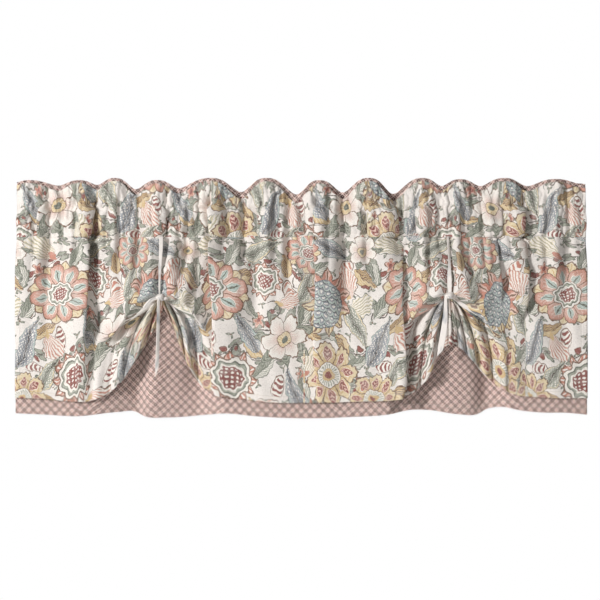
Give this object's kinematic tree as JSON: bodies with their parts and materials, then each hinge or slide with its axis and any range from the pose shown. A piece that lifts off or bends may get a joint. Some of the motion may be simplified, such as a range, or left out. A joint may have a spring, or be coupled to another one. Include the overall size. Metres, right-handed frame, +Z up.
{
  "type": "window valance",
  "caption": "Gathered rod-pocket window valance: ruffled heading, printed face caught up into arches by ties, over a lattice-print underlay.",
  "frame": {"origin": "middle of the heading's highest top edge, on the line of the rod that would carry it", "axes": "+X to the right along the rod, +Y away from the viewer, +Z up"},
  "size_m": [1.0985, 0.0641, 0.4635],
  "materials": {
    "floral_print": "Plain-weave cotton, matt, with a flower, leaf and paisley print in coral, ochre, sage and slate on cream.",
    "lattice_print": "Plain-weave cotton, matt, with a small slanted lattice of cream lines and dark squares on dusty rose.",
    "tie_cloth": "The printed cotton folded into a narrow strip, mostly its cream ground."
  },
  "bodies": {
    "root": {"heading_front": "floral_print", "heading_back": "lattice_print", "face_panel": "floral_print", "underlay": "lattice_print", "tie_left": "tie_cloth", "tie_right": "tie_cloth"}
  },
  "joints": []
}
